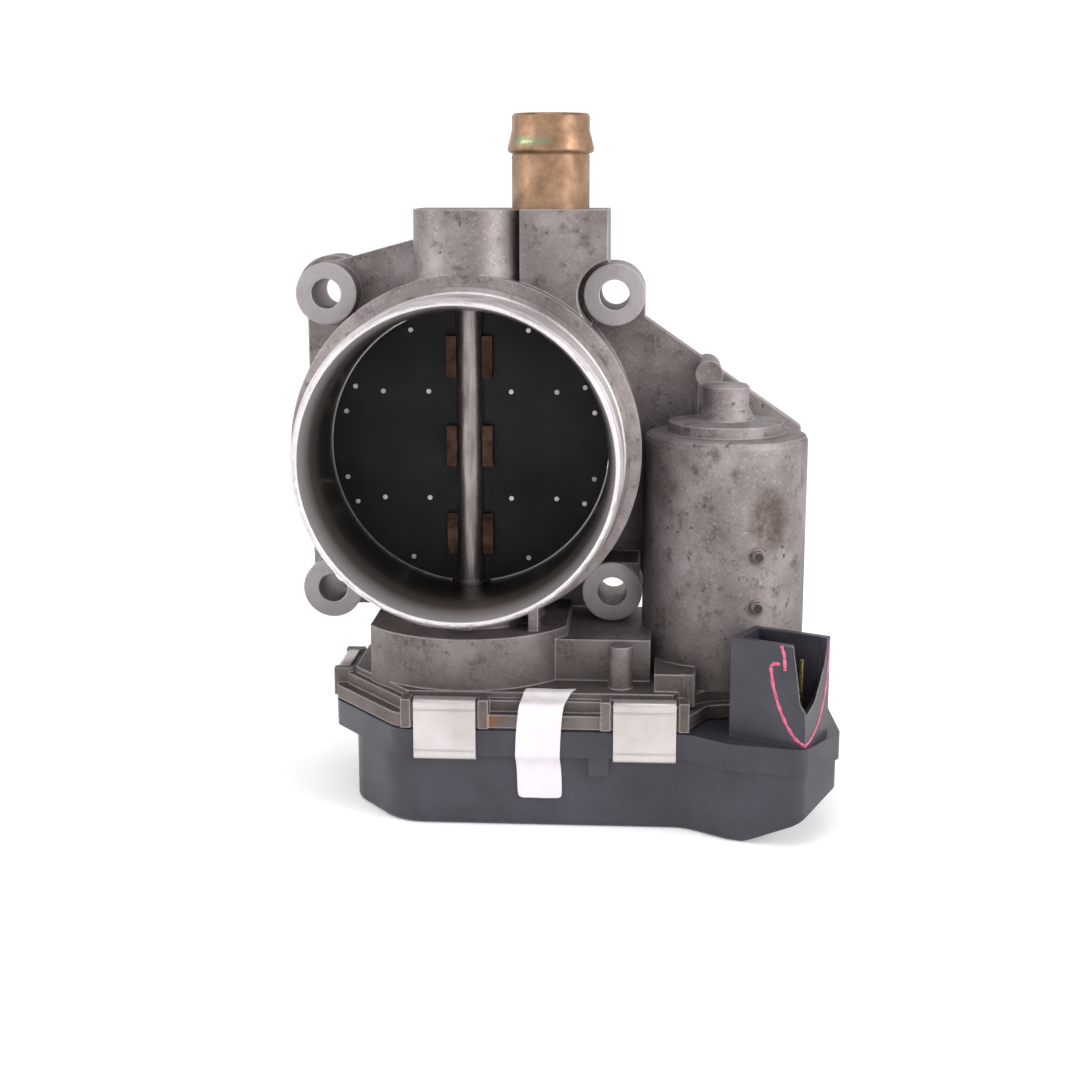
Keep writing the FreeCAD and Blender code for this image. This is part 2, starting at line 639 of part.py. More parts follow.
def motor_end_plate():
    """The plate that closes the can, with two screw ears and the brush holders."""
    low = JOINT_Z - END_PLATE_T
    pieces = [rod(MOTOR_X, MOTOR_Y, low, JOINT_Z, END_PLATE_R)]
    for x, y in MOTOR_SCREWS:
        pieces.append(rod(x, y, low, JOINT_Z, 3.2))
    reach = MOTOR_SCREW_REACH
    arm = block((MOTOR_X - reach, MOTOR_Y - 3.2, low), (MOTOR_X + reach, MOTOR_Y + 3.2, JOINT_Z))
    pieces.append(turned(arm, MOTOR_X, MOTOR_Y, 45))
    pieces.append(tube(MOTOR_X, MOTOR_Y, JOINT_Z, -54.0, 6.6, 14.8))
    for side in (-1, 1):
        near = MOTOR_X + side * 6.8
        far = MOTOR_X + side * 13.0
        pieces.append(block((min(near, far), MOTOR_Y - 3, -55), (max(near, far), MOTOR_Y + 3, -46.8)))
    solid = joined(pieces).cut(rod(MOTOR_X, MOTOR_Y, low - 1, JOINT_Z + 4, MOTOR_BUSH_R))
    holes = [rod(x, y, low - 1, JOINT_Z + 1, 1.3) for x, y in MOTOR_SCREWS]
    return solid.cut(Part.makeCompound(holes)).cut(motor_brushes()).cut(motor_terminals())


def motor_screws():
    """The two screws that hold the motor."""
    screws = []
    low = JOINT_Z - END_PLATE_T
    for x, y in MOTOR_SCREWS:
        slot = block((x - 3, y - 0.35, low - 2), (x + 3, y + 0.35, low - 1.1))
        head = rod(x, y, low - 1.8, low, 2.5).cut(slot)
        screws.append(joined([head, rod(x, y, low, -53.5, 1.3)]))
    return grouped(screws)


def motor_terminals():
    """The motor's two contact blades."""
    blades = []
    for side in (-1, 1):
        x = MOTOR_X + side * 4
        blades.append(block((x - 0.4, MOTOR_Y - 11, -64.5), (x + 0.4, MOTOR_Y - 8, -56)))
    return grouped(blades)


def position_magnet():
    """The sensor's magnet on the end of the shaft."""
    return rod(0, SHAFT_Y, -73, SHAFT_BOTTOM, 5)


def needle_bearing(bottom):
    """A bearing sleeve in which the shaft runs."""
    return tube(0, SHAFT_Y, bottom, bottom + BEARING_LENGTH, SHAFT_R + RUNNING_GAP, BEARING_R)


def shaft_seal(bottom):
    """A rubber ring that keeps air in the bore."""
    return tube(0, SHAFT_Y, bottom, bottom + SEAL_LENGTH, SHAFT_R + RUNNING_GAP, BEARING_R)


def shaft_end_plug():
    """The cap pressed into the upper boss."""
    return rod(0, SHAFT_Y, 50.8, TOP_Z - 0.5, BEARING_R)


def stop_screw():
    """The screw that the sector's lug rests on when the plate is closed."""
    return bar(STOP_X, STOP_Z, SHAFT_Y + 2.3, -1, 1.5)


def stop_post():
    """The post on the casting that holds the stop screw."""
    return block((STOP_X - 3, -3.5, STOP_Z - 3), (STOP_X + 3, 0.6, JOINT_Z + 2))


def plug_place(shape):
    """A shape drawn round the connector's own centre, put in its place."""
    copy = shape.copy()
    copy.rotate(at(0, 0, 0), UP, PLUG_TURN)
    copy.translate(at(PLUG_X, PLUG_Y, 0))
    return copy


def connector_shell():
    """The open-topped shell, with its front right corner broken away in a V."""
    x = PLUG_LONG / 2
    y = PLUG_SHORT / 2
    shell = block((-x, -y, DECK_BOTTOM), (x, y, PLUG_TOP))
    shell = shell.cut(block((-x + PLUG_WALL, -y + PLUG_WALL, PLUG_FLOOR), (x - PLUG_WALL, y - PLUG_WALL, 0)))
    shell = shell.fuse(block((-5, y - PLUG_WALL - 0.8, PLUG_FLOOR), (-3.6, y - PLUG_WALL, PLUG_TOP - 3)))
    broken = upright_sheet([(72.3, PLUG_TOP + 1), (72.6, -38.9), (73.5, -45), (74, -49.4), (75.4, -51.9),
                            (77.4, -49.8), (79.6, -42.7), (80.3, PLUG_TOP + 1)], -70, -40)
    corner = plug_place(block((0, -y - 1, PLUG_FLOOR), (x + 1, y - PLUG_WALL - 0.3, PLUG_TOP + 1)))
    return plug_place(shell).cut(broken.common(corner))


def connector_pins():
    """Six gold pins in two rows."""
    pins = []
    for x in (-4.2, 0, 4.2):
        for y in (-2, 2):
            low = (x - PIN_HALF, y - PIN_HALF, DECK_BOTTOM)
            pins.append(block(low, (x + PIN_HALF, y + PIN_HALF, PIN_TOP)))
    return plug_place(grouped(pins))


def corner_slope(lift):
    """The wedge below the sloping corner under the connector."""
    low = COVER_BOTTOM - 3
    points = [(62, COVER_BOTTOM + lift), (86, COVER_BOTTOM + 11.5 + lift), (86, low), (62, low)]
    return upright_sheet(points, -70, 20)


def gear_cover():
    """The plastic cover, its lip, posts and the connector's shell."""
    top = JOINT_Z - GASKET_T
    lip = prism(COVER_CORNERS, LIP_BOTTOM, top)
    body = prism(BODY_CORNERS, COVER_BOTTOM, LIP_BOTTOM)
    low_edges = [e for e in body.Edges if e.BoundBox.ZMax < COVER_BOTTOM + 0.1]
    body = body.makeFillet(1.4, low_edges).cut(corner_slope(0))
    pad = block((28.6, FRONT_Y + 0.2, -69.5), (33.2, FRONT_Y + LIP_STEP, LIP_BOTTOM))
    solid = joined([lip, body, pad, connector_shell()])
    floor = COVER_BOTTOM + COVER_FLOOR_T
    cavity = prism(BODY_CORNERS, floor, DECK_BOTTOM, -COVER_WALL).cut(corner_slope(2.2))
    room_above = prism(BODY_CORNERS, DECK_BOTTOM, top, -COVER_WALL)
    opening = prism(CASTING_CORNERS, DECK_BOTTOM, top, -LIP_STEP - COVER_WALL).common(room_above)
    motor_room = rod(MOTOR_X, MOTOR_Y, DECK_BOTTOM, top, END_PLATE_R + 0.5)
    solid = solid.cut(cavity).cut(opening).cut(motor_room)
    posts = [rod(IDLER_X, IDLER_Y, floor, -73.4, 4.5)]
    for x, y in BOARD_POSTS:
        posts.append(rod(x, y, floor, BOARD_Z, 1.8))
    solid = joined([solid] + posts)
    return solid.cut(intermediate_gear_pin()).cut(connector_pins())


def sensor_board():
    """The position sensor's circuit board."""
    return block((-13, -37, BOARD_Z), (21, -3, BOARD_Z + 1.2))


def sensor_chips():
    """The chips on the board."""
    top = BOARD_Z + 1.2
    places = [(0, SHAFT_Y, 3, 2.5), (12, -28, 2, 1.4), (12, -12, 2.4, 1.6), (-8, -12, 1.2, 0.8)]
    return grouped([block((x - a, y - b, top), (x + a, y + b, top + 0.9)) for x, y, a, b in places])


def cover_seal():
    """The gasket between the casting and the cover."""
    bottom = JOINT_Z - GASKET_T
    ring = prism(CASTING_CORNERS, bottom, JOINT_Z, -0.3)
    return ring.cut(prism(CASTING_CORNERS, bottom, JOINT_Z, -2.4))


def cover_clips():
    """Spring clips that hold the cover's lip to the casting's flange."""
    clips = []
    for x, y, turn in CLIPS:
        half = CLIP_WIDTH / 2
        outer = block((x - half, y - CLIP_T, LIP_BOTTOM - CLIP_T), (x + half, y + 2.8, LOWER_TOP + CLIP_T))
        inner = block((x - half, y, LIP_BOTTOM), (x + half, y + 3, LOWER_TOP))
        hook = block((x - half, y + 1.8, LIP_BOTTOM - 1), (x + half, y + 3, LIP_BOTTOM))
        clips.append(turned(outer.cut(inner).cut(hook), x, y, turn))
    return grouped(clips)


def seal_label():
    """The blank label, folded over the flange, down the joint and on down the cover."""
    left = LABEL_LEFT
    right = LABEL_RIGHT
    t = LABEL_T
    step_y = FRONT_Y + LOWER_RISE_IN
    rise = LOWER_TOP + LOWER_RISE
    folds = [
        block((left, step_y - t, rise), (right, step_y + LABEL_TAIL, rise + t)),
        block((left, step_y - t, LOWER_TOP), (right, step_y, rise)),
        block((left, FRONT_Y - t, LOWER_TOP), (right, step_y, LOWER_TOP + t)),
        block((left, FRONT_Y - t, LIP_BOTTOM - t), (right, FRONT_Y, LOWER_TOP)),
        block((left, FRONT_Y, LIP_BOTTOM - t), (right, BODY_FRONT_Y, LIP_BOTTOM)),
        block((left, BODY_FRONT_Y - t, LABEL_BOTTOM), (right, BODY_FRONT_Y, LIP_BOTTOM)),
    ]
    return joined(folds)


def flange_seal():
    """The rubber ring in the engine face."""
    return bar(0, 0, -SEAL_DEPTH, 0, SEAL_OUT_R).cut(bar(0, 0, -SEAL_DEPTH, 0, SEAL_IN_R))


def build():
    """Every sub-part by name."""
    middle = SHAFT_Y
    parts = {
        "hose_nipple": hose_nipple(),
        "shaft_end_plug": shaft_end_plug(),
        "upper_shaft_seal": shaft_seal(SEAT_Z),
        "upper_shaft_bearing": needle_bearing(SEAT_Z + SEAL_LENGTH),
        "lower_shaft_seal": shaft_seal(-SEAT_Z - SEAL_LENGTH),
        "lower_shaft_bearing": needle_bearing(-SEAT_Z - SEAL_LENGTH - BEARING_LENGTH),
        "throttle_shaft": throttle_shaft(),
        "throttle_plate_front": throttle_sheet(middle - SHEET_T, middle),
        "throttle_plate_rear": throttle_sheet(middle, middle + SHEET_T),
        "plate_rivets": plate_rivets(),
        "shaft_saddles": shaft_saddles(),
        "sector_gear": sector_gear(),
        "gear_lock_nut": gear_lock_nut(),
        "position_magnet": position_magnet(),
        "return_spring": return_spring(),
        "stop_screw": stop_screw(),
        "intermediate_gear": intermediate_gear(),
        "intermediate_gear_pin": intermediate_gear_pin(),
        "motor_can": motor_can(),
        "motor_magnets": motor_magnets(),
        "motor_armature": motor_armature(),
        "armature_windings": armature_windings(),
        "commutator": commutator(),
        "motor_shaft": motor_shaft(),
        "motor_pinion": motor_pinion(),
        "motor_end_plate": motor_end_plate(),
        "motor_brushes": motor_brushes(),
        "upper_motor_bearing": motor_bush(-8.2, CAN_TOP - CAN_WALL),
        "lower_motor_bearing": motor_bush(JOINT_Z - END_PLATE_T, -55.4),
        "motor_screws": motor_screws(),
        "motor_terminals": motor_terminals(),
        "gear_cover": gear_cover(),
        "connector_pins": connector_pins(),
        "sensor_board": sensor_board(),
        "sensor_chips": sensor_chips(),
        "cover_seal": cover_seal(),
        "cover_clips": cover_clips(),
        "seal_label": seal_label(),
        "flange_seal": flange_seal(),
    }
    sunk = ["intermediate_gear_pin", "motor_screws", "stop_screw"]
    parts["throttle_housing"] = throttle_housing([parts[name] for name in sunk])
    return parts


os.makedirs("parts", exist_ok=True)
for name, shape in build().items():
    if not shape.Solids or not shape.isValid():
        raise ValueError(name + " is not a sound solid")
    shape.exportStep("parts/" + name + ".step")
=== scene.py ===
import math

import bpy
from mathutils import Matrix, Vector


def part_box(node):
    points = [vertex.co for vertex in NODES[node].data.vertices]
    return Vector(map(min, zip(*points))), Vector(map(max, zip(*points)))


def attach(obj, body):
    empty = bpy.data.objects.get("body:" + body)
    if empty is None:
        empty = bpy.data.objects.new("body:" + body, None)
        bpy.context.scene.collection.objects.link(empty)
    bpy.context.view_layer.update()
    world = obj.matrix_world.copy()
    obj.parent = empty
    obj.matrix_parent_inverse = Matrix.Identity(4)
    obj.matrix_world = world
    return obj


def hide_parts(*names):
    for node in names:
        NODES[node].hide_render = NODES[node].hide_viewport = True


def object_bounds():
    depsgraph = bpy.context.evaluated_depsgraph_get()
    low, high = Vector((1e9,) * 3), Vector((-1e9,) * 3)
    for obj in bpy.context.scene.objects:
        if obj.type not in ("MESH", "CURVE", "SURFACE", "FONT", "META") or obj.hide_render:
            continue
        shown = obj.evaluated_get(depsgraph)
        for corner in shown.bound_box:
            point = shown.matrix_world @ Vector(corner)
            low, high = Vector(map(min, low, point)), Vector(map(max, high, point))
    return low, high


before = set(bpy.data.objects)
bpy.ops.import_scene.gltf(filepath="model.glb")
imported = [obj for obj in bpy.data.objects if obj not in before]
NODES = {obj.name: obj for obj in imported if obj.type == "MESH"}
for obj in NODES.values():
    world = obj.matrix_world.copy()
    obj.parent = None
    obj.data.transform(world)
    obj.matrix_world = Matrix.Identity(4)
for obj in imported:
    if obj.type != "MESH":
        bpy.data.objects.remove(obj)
CAD_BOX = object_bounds()
MM = 0.001

# Places taken from the frame
COVER_LOW, COVER_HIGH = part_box("gear_cover")
CLIP_LOW, CLIP_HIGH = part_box("cover_clips")
LABEL_LOW, LABEL_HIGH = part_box("seal_label")
NIPPLE_LOW, NIPPLE_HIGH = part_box("hose_nipple")
HOUSING_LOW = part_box("throttle_housing")[0]
PINS_LOW, PINS_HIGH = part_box("connector_pins")
MOTOR_LOW, MOTOR_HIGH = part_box("motor_can")
MOTOR_MIDDLE = (MOTOR_LOW + MOTOR_HIGH) / 2
PLATE_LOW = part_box("throttle_plate_front")[0]
SHAFT_LOW, SHAFT_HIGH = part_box("throttle_shaft")
SHAFT_MIDDLE_Y = (SHAFT_LOW.y + SHAFT_HIGH.y) / 2
FLOOR_Z = COVER_LOW.z
RIM_Y = HOUSING_LOW.y

# Sizes of the casting that its material follows
SPIGOT_R = 35.8 * MM
SPIGOT_END_Y = RIM_Y + 15 * MM
BOLT_HALF_X = 33.0 * MM
BOLT_HALF_Z = 34.5 * MM
BOSS_FRONT_Y = -20.0 * MM
TOP_BOSS_R = 12.6 * MM
NUB_HEIGHTS = (-21.8 * MM, -33.4 * MM)

# Radii of masks, a little over the real ones so that the whole face is inside
BORE_MASK_R = 34.5 * MM
BOSS_MASK_R = 7.2 * MM

# Clips: the CAD clips' thickness, then the sizes of the bent strip that replaces them
CAD_CLIP_THICK = 0.8 * MM
STRIP_THICK = 0.6 * MM
STRIP_BEND = 0.75 * MM
UPPER_HOOK = 2.6 * MM
LOWER_HOOK = 1.7 * MM
UPPER_FOLD = 2.3 * MM
LOWER_FOLD = 2.2 * MM
FOLD_HALF = 0.42 * MM
FOLD_FLAT_HALF = 0.14 * MM
FOLD_DEPTH = 0.22 * MM

# Label and marker
FILM_THICK = 0.12 * MM
FILM_RIPPLE = 0.10 * MM
MARKER_WIDTH = 0.85 * MM
MARKER_THICK = 0.05 * MM

# The connector's shell, round the middle of its pins
PLUG_MIDDLE = (PINS_LOW + PINS_HIGH) / 2
PLUG_TURN = math.radians(-28)
PLUG_HALF_LONG = 8.9 * MM
PLUG_HALF_SHORT = 6.25 * MM
PLUG_TOP = COVER_HIGH.z

# Stage: the floor's flat radius, its curve's radius and its wall's height, in metres, then its looks
FLOOR_FLAT = 0.9
FLOOR_CURVE = 0.5
FLOOR_WALL = 0.9
FLOOR_GLOW = 0.22
WORLD_STRENGTH = 0.26

# Each light's name, place, width and power
LIGHTS = [
    ("light_top", (0.05, -0.15, 0.95), 0.7, 4.0),
    ("light_right", (0.75, -0.45, 0.30), 0.45, 4.2),
    ("light_left", (-0.75, -0.30, 0.30), 0.4, 2.4),
]

# Camera
CAMERA_PLACE = Vector((40.7, -415.6, 59.4)) * MM
CAMERA_AIM = Vector((-0.0609, 0.9775, -0.2021))
CAMERA_LENS = 57.75
SENSOR_WIDTH = 36


# ---------- places on the connector ----------

def plug_point(along, across, z):
    """A place given from the connector's own centre, along its long and its short side."""
    x = PLUG_MIDDLE.x + along * math.cos(PLUG_TURN) - across * math.sin(PLUG_TURN)
    y = PLUG_MIDDLE.y + along * math.sin(PLUG_TURN) + across * math.cos(PLUG_TURN)
    return Vector((x, y, z))


# ---------- material building blocks ----------

def new_material(name):
    """A material with its tree, its shader and object coordinates."""
    made = bpy.data.materials.new(name)
    made.use_nodes = True
    tree = made.node_tree
    shader = tree.nodes["Principled BSDF"]
    place = tree.nodes.new("ShaderNodeTexCoord").outputs["Object"]
    return made, tree, shader, place


def noise(tree, place, scale, detail, rough, stretch=(1, 1, 1)):
    """Noise over the object, in features of about 1/scale metres."""
    mapping = tree.nodes.new("ShaderNodeMapping")
    mapping.inputs["Scale"].default_value = stretch
    tree.links.new(place, mapping.inputs["Vector"])
    texture = tree.nodes.new("ShaderNodeTexNoise")
    texture.inputs["Scale"].default_value = scale
    texture.inputs["Detail"].default_value = detail
    texture.inputs["Roughness"].default_value = rough
    tree.links.new(mapping.outputs["Vector"], texture.inputs["Vector"])
    return texture.outputs["Fac"]


def ramp(tree, factor, stops):
    """A colour ramp through (position, colour)."""
    made = tree.nodes.new("ShaderNodeValToRGB")
    elements = made.color_ramp.elements
    while len(elements) < len(stops):
        elements.new(0.5)
    for element, (position, colour) in zip(elements, stops):
        element.position = position
        element.color = (*colour, 1)
    tree.links.new(factor, made.inputs["Fac"])
    return made.outputs["Color"]


def spread(tree, factor, low, high, start=0.3, end=0.7):
    """A number from low to high as the factor goes from start to end."""
    made = tree.nodes.new("ShaderNodeMapRange")
    made.inputs["From Min"].default_value = start
    made.inputs["From Max"].default_value = end
    made.inputs["To Min"].default_value = low
    made.inputs["To Max"].default_value = high
    tree.links.new(factor, made.inputs["Value"])
    return made.outputs["Result"]


def mixed(tree, factor, first, second):
    """Two colours mixed by a factor; a colour may be a socket or three numbers."""
    made = tree.nodes.new("ShaderNodeMix")
    made.data_type = "RGBA"
    if hasattr(factor, "links"):
        tree.links.new(factor, made.inputs[0])
    else:
        made.inputs[0].default_value = factor
    for socket, value in ((made.inputs[6], first), (made.inputs[7], second)):
        if hasattr(value, "links"):
            tree.links.new(value, socket)
        else:
            socket.default_value = (*value, 1)
    return made.outputs[2]


def maths(tree, operation, first, second=0.0):
    """A number worked out from two others."""
    made = tree.nodes.new("ShaderNodeMath")
    made.operation = operation
    for socket, value in zip(made.inputs, (first, second)):
        if hasattr(value, "links"):
            tree.links.new(value, socket)
        else:
            socket.default_value = value
    return made.outputs["Value"]


def parts_of(tree, place):
    """The X, Y and Z of the place."""
    made = tree.nodes.new("ShaderNodeSeparateXYZ")
    tree.links.new(place, made.inputs["Vector"])
    return made.outputs["X"], made.outputs["Y"], made.outputs["Z"]


def within(tree, value, low, high, soft):
    """1 where a number lies between low and high, fading to 0 over the soft width."""
    above = spread(tree, value, 0.0, 1.0, low - soft, low)
    below = spread(tree, value, 1.0, 0.0, high, high + soft)
    return maths(tree, "MULTIPLY", above, below)


def distance(tree, first, second):
    """The length of two numbers at right angles."""
    squares = [maths(tree, "MULTIPLY", value, value) for value in (first, second)]
    return maths(tree, "SQRT", maths(tree, "ADD", *squares))


def near(tree, place, centre, reach, soft):
    """1 inside an ellipsoid of that reach round a centre, fading to 0 at its edge."""
    mapping = tree.nodes.new("ShaderNodeMapping")
    mapping.vector_type = "TEXTURE"
    mapping.inputs["Location"].default_value = centre
    mapping.inputs["Scale"].default_value = reach
    tree.links.new(place, mapping.inputs["Vector"])
    length = tree.nodes.new("ShaderNodeVectorMath")
    length.operation = "LENGTH"
    tree.links.new(mapping.outputs["Vector"], length.inputs[0])
    return spread(tree, length.outputs["Value"], 1.0, 0.0, 1.0 - soft, 1.0)


def edges(tree, radius, gain):
    """A number that is the gain on sharp edges and 0 on flats, and a normal that rounds the edges."""
    bevel = tree.nodes.new("ShaderNodeBevel")
    bevel.samples = 4
    bevel.inputs["Radius"].default_value = radius
    geometry = tree.nodes.new("ShaderNodeNewGeometry")
    dot = tree.nodes.new("ShaderNodeVectorMath")
    dot.operation = "DOT_PRODUCT"
    tree.links.new(bevel.outputs["Normal"], dot.inputs[0])
    tree.links.new(geometry.outputs["Normal"], dot.inputs[1])
    return spread(tree, dot.outputs["Value"], gain, 0.0, 0.72, 0.995), bevel.outputs["Normal"]


def bump(tree, height, strength, depth, normal=None):
    """A bumped normal from a height."""
    made = tree.nodes.new("ShaderNodeBump")
    made.inputs["Strength"].default_value = strength
    made.inputs["Distance"].default_value = depth
    tree.links.new(height, made.inputs["Height"])
    if normal is not None:
        tree.links.new(normal, made.inputs["Normal"])
    return made.outputs["Normal"]


# ---------- materials ----------

def boss_faces(tree, x, y, z):
    """1 on the milled front faces of the four bolt bosses."""
    from_bolt_x = maths(tree, "SUBTRACT", maths(tree, "ABSOLUTE", x), BOLT_HALF_X)
    from_bolt_z = maths(tree, "SUBTRACT", maths(tree, "ABSOLUTE", z), BOLT_HALF_Z)
    ring = within(tree, distance(tree, from_bolt_x, from_bolt_z), 0.0, BOSS_MASK_R, 0.2 * MM)
    front = within(tree, y, BOSS_FRONT_Y - 0.2 * MM, BOSS_FRONT_Y + 0.2 * MM, 0.1 * MM)
    return maths(tree, "MULTIPLY", ring, front)


def spigot_face(tree, radius, y):
    """1 on the spigot's turned outside."""
    outside = within(tree, radius, SPIGOT_R - 1.2 * MM, SPIGOT_R + 0.3 * MM, 0.2 * MM)
    return maths(tree, "MULTIPLY", outside, within(tree, y, RIM_Y - 1 * MM, SPIGOT_END_Y, 0.5 * MM))


def bore_face(tree, radius, y):
    """1 in the bore ahead of the plate."""
    inside = within(tree, radius, 0.0, BORE_MASK_R, 0.15 * MM)
    ahead = spread(tree, y, 1.0, 0.0, PLATE_LOW.y + 3 * MM, PLATE_LOW.y + 4 * MM)
    return maths(tree, "MULTIPLY", inside, ahead)


def top_boss_face(tree, x, y, z):
    """Nearly 1 on the round face of the upper bearing boss."""
    from_shaft = distance(tree, x, maths(tree, "SUBTRACT", y, SHAFT_MIDDLE_Y))
    boss = within(tree, from_shaft, TOP_BOSS_R - 0.3 * MM, TOP_BOSS_R + 0.3 * MM, 0.1 * MM)
    return maths(tree, "MULTIPLY", boss, spread(tree, z, 0.0, 0.8, SPIGOT_R, SPIGOT_R + 6 * MM))


def cast_skin(tree, place, cloud, patch, grain):
    """The casting's own colour: light and dark clouds, stains, pits and bright specks."""
    colour = ramp(tree, cloud, [(0.28, (0.120, 0.098, 0.092)), (0.50, (0.225, 0.195, 0.190)),
                                (0.72, (0.370, 0.330, 0.328))])
    stain = spread(tree, patch, 0.0, 0.85, 0.54, 0.68)
    colour = mixed(tree, stain, colour, (0.088, 0.066, 0.056))
    pits = spread(tree, noise(tree, place, 640, 4, 0.6), 0.0, 0.8, 0.62, 0.70)
    colour = mixed(tree, pits, colour, (0.045, 0.034, 0.030))
    speck = spread(tree, grain, 0.0, 0.35, 0.55, 0.75)
    return mixed(tree, speck, colour, (0.55, 0.51, 0.51))


def spot(tree, place, colour, centre, reach, soft, strength, paint):
    """A colour with a soft spot of paint on it."""
    mask = near(tree, place, centre, reach, soft)
    return mixed(tree, maths(tree, "MULTIPLY", mask, strength), colour, paint)


def cast_marks_and_shade(tree, place, colour, patch):
    """The heat mark and rust spot, then painted shade round the nubs and in the crevice between tube and
    motor.
    """
    mottled = spread(tree, patch, 0.3, 1.0, 0.36, 0.56)
    heat_mark = (MOTOR_MIDDLE.x + 9.5 * MM, MOTOR_MIDDLE.y - 16 * MM, -14 * MM)
    colour = spot(tree, place, colour, heat_mark, (6 * MM, 8 * MM, 9 * MM), 0.5, mottled,
                  (0.082, 0.060, 0.048))
    flaky = spread(tree, patch, 0.2, 1.0, 0.35, 0.5)
    rust = (CLIP_LOW.x + 38.8 * MM, CLIP_LOW.y + 1.0 * MM, CLIP_HIGH.z - 4.6 * MM)
    colour = spot(tree, place, colour, rust, (2.2 * MM, 2.5 * MM, 2.4 * MM), 0.6, flaky,
                  (0.40, 0.13, 0.03))
    # Painted shade: dark spots round the two nubs on the motor housing
    for z_nub in NUB_HEIGHTS:
        nub_shade = (MOTOR_MIDDLE.x + 7.1 * MM, MOTOR_MIDDLE.y - 18.4 * MM, z_nub - 0.4 * MM)
        colour = spot(tree, place, colour, nub_shade, (2.6 * MM, 3.0 * MM, 2.6 * MM), 0.55, 0.9,
                      (0.035, 0.026, 0.022))
    # Painted shade: a dark patch in the gap between the bore tube and the motor housing
    crevice_shade = (MOTOR_MIDDLE.x - 18.5 * MM, MOTOR_MIDDLE.y + 6 * MM, -18 * MM)
    return spot(tree, place, colour, crevice_shade, (6.5 * MM, 17 * MM, 26 * MM), 0.5, 0.85,
                (0.030, 0.024, 0.021))


def bore_depth_shade(tree, y, rings):
    """Painted highlight bright at the mouth, and painted shade going brown to black with depth, in streaks.
    """
    depth = spread(tree, y, 0.0, 1.0, RIM_Y + 1 * MM, RIM_Y + 26 * MM)
    depth_shade_colour = ramp(tree, depth, [(0.0, (0.86, 0.81, 0.82)), (0.12, (0.66, 0.60, 0.60)),
                              (0.30, (0.20, 0.165, 0.148)), (0.62, (0.045, 0.036, 0.028)),
                              (1.0, (0.012, 0.010, 0.008))])
    return mixed(tree, spread(tree, rings, 0.0, 0.25), depth_shade_colour, (0.02, 0.016, 0.012))


def cast_aluminium():
    """Old sand-textured casting, with bright edges that are partly wear and partly painted highlight, a
    turned spigot, and a bore painted bright at the mouth and shaded dark with depth.
    """
    made, tree, shader, place = new_material("cast_aluminium_old")
    x, y, z = parts_of(tree, place)
    radius = distance(tree, x, z)
    cloud = noise(tree, place, 48, 6, 0.65)
    patch = noise(tree, place, 210, 8, 0.72)
    grain = noise(tree, place, 1500, 3, 0.6)
    rings = noise(tree, place, 90, 8, 0.8, (1, 16, 1))

    colour = cast_skin(tree, place, cloud, patch, grain)
    milled = maths(tree, "MULTIPLY", boss_faces(tree, x, y, z), 0.65)
    colour = mixed(tree, milled, colour, (0.44, 0.41, 0.43))
    colour = cast_marks_and_shade(tree, place, colour, patch)
    # Painted shade: the casting gets darker towards the bottom, over the lower flange
    low_down = spread(tree, z, 0.62, 0.0, CLIP_HIGH.z + 2 * MM, CLIP_HIGH.z + 24 * MM)
    bottom_shade = mixed(tree, cloud, (0.065, 0.052, 0.046), (0.13, 0.108, 0.10))
    colour = mixed(tree, low_down, colour, bottom_shade)
    # Bright edges: partly wear, partly a painted highlight along the rims
    edge_mark, soft_normal = edges(tree, 0.6 * MM, 0.85)
    edge_mark = maths(tree, "MULTIPLY", edge_mark, spread(tree, patch, 0.45, 1.0))
    colour = mixed(tree, edge_mark, colour, (0.78, 0.72, 0.73))

    spigot = spigot_face(tree, radius, y)
    turned = ramp(tree, rings, [(0.34, (0.26, 0.22, 0.22)), (0.48, (0.62, 0.565, 0.575)),
                                (0.62, (0.90, 0.85, 0.86))])
    colour = mixed(tree, spigot, colour, turned)
    # The bore's colour is painted light and shade: bright near the rim, dark deeper in
    bore = bore_face(tree, radius, y)
    colour = mixed(tree, bore, colour, bore_depth_shade(tree, y, rings))
    tree.links.new(colour, shader.inputs["Base Color"])
    shader.inputs["Metallic"].default_value = 0.72

    smooth = maths(tree, "MAXIMUM", maths(tree, "MAXIMUM", spigot, bore), top_boss_face(tree, x, y, z))
    rough = mixed(tree, smooth, mixed(tree, patch, (0.46,) * 3, (0.66,) * 3), (0.36,) * 3)
    tree.links.new(rough, shader.inputs["Roughness"])
    relief = maths(tree, "ADD", maths(tree, "MULTIPLY", grain, 0.6), patch)
    cast_relief = maths(tree, "MULTIPLY", relief, maths(tree, "SUBTRACT", 1.0, smooth))
    tree.links.new(bump(tree, cast_relief, 0.55, 0.20 * MM, soft_normal), shader.inputs["Normal"])
    return made


